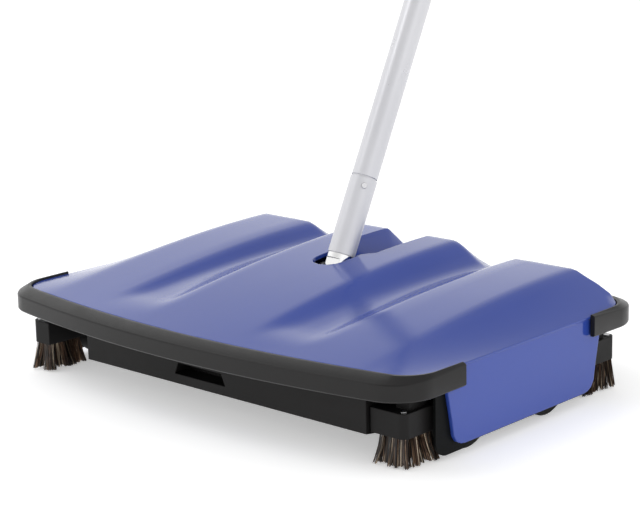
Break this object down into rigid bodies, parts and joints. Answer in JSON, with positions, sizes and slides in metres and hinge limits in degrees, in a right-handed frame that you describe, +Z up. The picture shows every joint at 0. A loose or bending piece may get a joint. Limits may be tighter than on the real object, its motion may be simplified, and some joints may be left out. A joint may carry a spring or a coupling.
{
  "type": "carpet sweeper",
  "caption": "Manual carpet sweeper: low blue humped body with black bumpers, corner brushes, wheel-driven brush rotor, drop-open dust pans and a leaning tubular handle.",
  "frame": {"origin": "on the floor under the middle of the body's footprint", "axes": "+X to the sweeper's left-to-right across its width as seen from the front (right in the picture), -Y the front edge, +Z up"},
  "size_m": [0.315, 0.624, 1.0037],
  "materials": {
    "blue_plastic": "glossy moulded, fine scuffs",
    "bumper_rubber": "satin, lightly grained",
    "black_steel": "semi-gloss black",
    "zinc_steel": "zinc plated, dull",
    "black_plastic": "satin moulded",
    "rotor_fibre": "stiff synthetic bristle",
    "horsehair": "mixed brown and black hair",
    "chrome": "bright plated",
    "wheel_plastic": "moulded",
    "tyre_rubber": "matt",
    "nylon": "natural",
    "grey_paint": "satin light grey",
    "grip_rubber": "soft matt",
    "bright_steel": "bright drawn"
  },
  "bodies": {
    "sweeper_body": {"cover": "blue_plastic", "front_bumper": "bumper_rubber", "rear_bumper": "bumper_rubber", "deck": "black_steel", "left_inner_plate": "zinc_steel", "right_inner_plate": "zinc_steel", "left_outer_plate": "black_steel", "right_outer_plate": "black_steel", "front_left_brush_holder": "black_plastic", "front_right_brush_holder": "black_plastic", "rear_left_brush_holder": "black_plastic", "rear_right_brush_holder": "black_plastic", "front_left_bristles": "horsehair", "front_right_bristles": "horsehair", "rear_left_bristles": "horsehair", "rear_right_bristles": "horsehair", "brush_rivets": "bright_steel", "cover_screws": "bright_steel", "handle_bracket": "zinc_steel", "bracket_rivets": "bright_steel", "pivot_pin": "bright_steel", "rotor_bushes": "nylon", "wheel_axles": "bright_steel"},
    "rotor": {"rotor_shaft": "bright_steel", "rotor_core": "wheel_plastic", "rotor_bristles": "rotor_fibre", "left_drum": "tyre_rubber", "right_drum": "tyre_rubber"},
    "front_dust_pan": {"front_pan": "black_plastic", "front_pan_pins": "bright_steel"},
    "rear_dust_pan": {"rear_pan": "black_plastic", "rear_pan_pins": "bright_steel"},
    "handle": {"handle_yoke": "chrome", "handle_socket": "grey_paint", "lower_tube": "grey_paint", "middle_tube": "grey_paint", "upper_tube": "grey_paint", "snap_buttons": "bright_steel", "hand_grip": "grip_rubber"},
    "front_left_wheel_assembly": {"front_left_wheel": "wheel_plastic", "front_left_tyre": "tyre_rubber"},
    "front_right_wheel_assembly": {"front_right_wheel": "wheel_plastic", "front_right_tyre": "tyre_rubber"},
    "rear_left_wheel_assembly": {"rear_left_wheel": "wheel_plastic", "rear_left_tyre": "tyre_rubber"},
    "rear_right_wheel_assembly": {"rear_right_wheel": "wheel_plastic", "rear_right_tyre": "tyre_rubber"}
  },
  "joints": [
    {"name": "handle_tilt", "type": "hinge", "parent": "sweeper_body", "child": "handle", "pos_m": [0, 0.0178, 0.06], "axis": [-1, 0, 0], "range_deg": [-30, 58]},
    {"name": "rotor_spin", "type": "hinge", "parent": "sweeper_body", "child": "rotor", "pos_m": [0, -0.007, 0.0265], "axis": [1, 0, 0], "continuous": true},
    {"name": "front_pan_hinge", "type": "hinge", "parent": "sweeper_body", "child": "front_dust_pan", "pos_m": [0, -0.046, 0.016], "axis": [1, 0, 0], "range_deg": [0, 80]},
    {"name": "rear_pan_hinge", "type": "hinge", "parent": "sweeper_body", "child": "rear_dust_pan", "pos_m": [0, 0.032, 0.016], "axis": [-1, 0, 0], "range_deg": [0, 80]},
    {"name": "front_left_wheel_spin", "type": "hinge", "parent": "sweeper_body", "child": "front_left_wheel_assembly", "pos_m": [0, -0.042, 0.02], "axis": [1, 0, 0], "continuous": true},
    {"name": "front_right_wheel_spin", "type": "hinge", "parent": "sweeper_body", "child": "front_right_wheel_assembly", "pos_m": [0, -0.042, 0.02], "axis": [1, 0, 0], "continuous": true},
    {"name": "rear_left_wheel_spin", "type": "hinge", "parent": "sweeper_body", "child": "rear_left_wheel_assembly", "pos_m": [0, 0.028, 0.02], "axis": [1, 0, 0], "continuous": true},
    {"name": "rear_right_wheel_spin", "type": "hinge", "parent": "sweeper_body", "child": "rear_right_wheel_assembly", "pos_m": [0, 0.028, 0.02], "axis": [1, 0, 0], "continuous": true}
  ],
  "couplings": [
    {"joint": "front_left_wheel_spin", "follows": "rotor_spin", "ratio": -0.7667},
    {"joint": "front_right_wheel_spin", "follows": "rotor_spin", "ratio": -0.7667},
    {"joint": "rear_left_wheel_spin", "follows": "rotor_spin", "ratio": -0.7667},
    {"joint": "rear_right_wheel_spin", "follows": "rotor_spin", "ratio": -0.7667}
  ]
}
